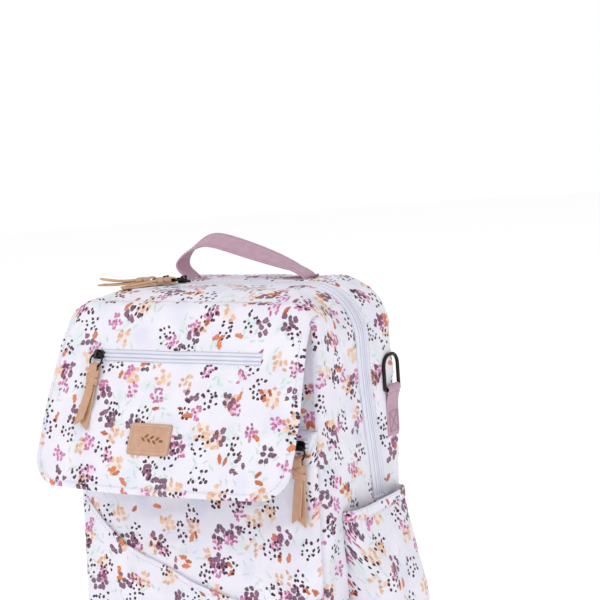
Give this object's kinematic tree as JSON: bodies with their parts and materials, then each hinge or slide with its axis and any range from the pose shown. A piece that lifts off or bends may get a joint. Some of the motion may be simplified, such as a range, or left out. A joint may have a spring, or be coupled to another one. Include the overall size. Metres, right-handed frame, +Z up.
{
  "type": "diaper bag",
  "caption": "Printed backpack diaper bag with a front flap, wrap-round zip, knotted leather pulls, side pockets and a webbing handle.",
  "frame": {"origin": "on the base, at the middle of the bag's width, 12 mm in front of the main zip's plane", "axes": "+Z up, -Y towards the front with the flap, +X to the wearer's left when worn on the back, the viewer's right facing the flap"},
  "size_m": [0.3808, 0.2885, 0.4495],
  "materials": {
    "printed_twill": "satin printed twill",
    "lining_cloth": "plain woven lining",
    "mat_cloth": "wipe-clean quilted cloth",
    "board": "polypropylene board",
    "zip_tape": "woven nylon tape and coil",
    "tan_leather": "smooth vegetable-tanned",
    "gunmetal": "black nickel plate",
    "magnet_steel": "plated",
    "mauve_webbing": "twill webbing",
    "mesh_cloth": "spacer mesh and padding",
    "acetal": "moulded"
  },
  "bodies": {
    "bag": {"back_shell": "printed_twill", "lower_shell": "printed_twill", "lining_back": "lining_cloth", "lining_lower": "lining_cloth", "main_zip_tape_back": "zip_tape", "zip_end_stops": "zip_tape", "base_board": "board", "mat_sleeve": "lining_cloth", "changing_mat": "mat_cloth", "inner_pocket": "lining_cloth", "pocket_lower": "printed_twill", "slip_pocket": "printed_twill", "side_pocket_left": "printed_twill", "side_pocket_right": "printed_twill", "side_hem_left": "printed_twill", "side_hem_right": "printed_twill", "handle_anchor_left": "mauve_webbing", "handle_anchor_right": "mauve_webbing", "ring_tab_left": "mauve_webbing", "ring_tab_right": "mauve_webbing", "back_pad": "mesh_cloth", "strap_yoke": "mesh_cloth", "shoulder_strap_left": "mesh_cloth", "shoulder_strap_right": "mesh_cloth", "ladder_lock_left": "acetal", "ladder_lock_right": "acetal", "lower_webbing_left": "mauve_webbing", "lower_webbing_right": "mauve_webbing"},
    "front_top": {"front_shell": "printed_twill", "lining_front": "lining_cloth", "main_zip_tape_front": "zip_tape", "pocket_upper": "printed_twill", "pocket_zip_tape": "zip_tape", "pocket_magnets": "magnet_steel", "flap_ridge": "printed_twill"},
    "flap": {"flap_panel": "printed_twill", "flap_lining": "lining_cloth", "flap_zip_tape": "zip_tape", "leather_label": "tan_leather", "flap_magnets": "magnet_steel"},
    "flap_slider": {"flap_slider": "gunmetal"},
    "flap_pull": {"flap_pull_ring": "gunmetal", "flap_pull_leather": "tan_leather"},
    "pocket_slider": {"pocket_slider": "gunmetal"},
    "pocket_pull": {"pocket_pull_ring": "gunmetal", "pocket_pull_leather": "tan_leather"},
    "main_left_slider": {"main_left_slider": "gunmetal"},
    "main_left_pull": {"main_left_pull_ring": "gunmetal", "main_left_pull_leather": "tan_leather"},
    "main_right_slider": {"main_right_slider": "gunmetal"},
    "main_right_pull": {"main_right_pull_ring": "gunmetal", "main_right_pull_leather": "tan_leather"},
    "handle": {"handle": "mauve_webbing"},
    "side_ring_left": {"side_ring_left": "gunmetal"},
    "side_ring_right": {"side_ring_right": "gunmetal"}
  },
  "joints": [
    {"name": "mouth_open", "type": "hinge", "parent": "bag", "child": "front_top", "pos_m": [0, -0.1021, 0.17], "axis": [1, 0, 0], "range_deg": [0, 60]},
    {"name": "flap_lift", "type": "hinge", "parent": "front_top", "child": "flap", "pos_m": [0, -0.081, 0.388], "axis": [-1, 0, 0], "range_deg": [-15, 140]},
    {"name": "flap_zip", "type": "slide", "parent": "flap", "child": "flap_slider", "axis": [1, 0, 0], "range_m": [0, 0.19]},
    {"name": "flap_pull_swing", "type": "hinge", "parent": "flap_slider", "child": "flap_pull", "pos_m": [-0.096, -0.11339, 0.34372], "axis": [-1, 0, 0], "range_deg": [0, 100]},
    {"name": "pocket_zip", "type": "slide", "parent": "front_top", "child": "pocket_slider", "axis": [-1, 0, 0], "range_m": [0, 0.26]},
    {"name": "pocket_pull_swing", "type": "hinge", "parent": "pocket_slider", "child": "pocket_pull", "pos_m": [0.134, -0.10059, 0.25427], "axis": [-1, 0, 0], "range_deg": [0, 45]},
    {"name": "main_left_zip", "type": "hinge", "parent": "front_top", "child": "main_left_slider", "pos_m": [-0.092, 0.012, 0.342], "axis": [0, -1, 0], "range_deg": [0, 90]},
    {"name": "main_left_pull_swing", "type": "hinge", "parent": "main_left_slider", "child": "main_left_pull", "pos_m": [-0.092, 0.012, 0.4053], "axis": [-0.7071, 0.7071, 0], "range_deg": [0, 100]},
    {"name": "main_right_zip", "type": "slide", "parent": "front_top", "child": "main_right_slider", "axis": [1, 0, 0], "range_m": [0, 0.155]},
    {"name": "main_right_pull_swing", "type": "hinge", "parent": "main_right_slider", "child": "main_right_pull", "pos_m": [-0.068, 0.012, 0.4053], "axis": [-0.866, 0.5, 0], "range_deg": [0, 100]},
    {"name": "handle_tilt", "type": "hinge", "parent": "bag", "child": "handle", "pos_m": [0, 0.042, 0.414], "axis": [1, 0, 0], "range_deg": [-70, 70]},
    {"name": "side_ring_right_swing", "type": "hinge", "parent": "bag", "child": "side_ring_right", "pos_m": [0.1546, 0.06, 0.2823], "axis": [0, 1, 0], "range_deg": [0, 170]},
    {"name": "side_ring_left_swing", "type": "hinge", "parent": "bag", "child": "side_ring_left", "pos_m": [-0.1546, 0.06, 0.2823], "axis": [0, -1, 0], "range_deg": [0, 170]}
  ]
}
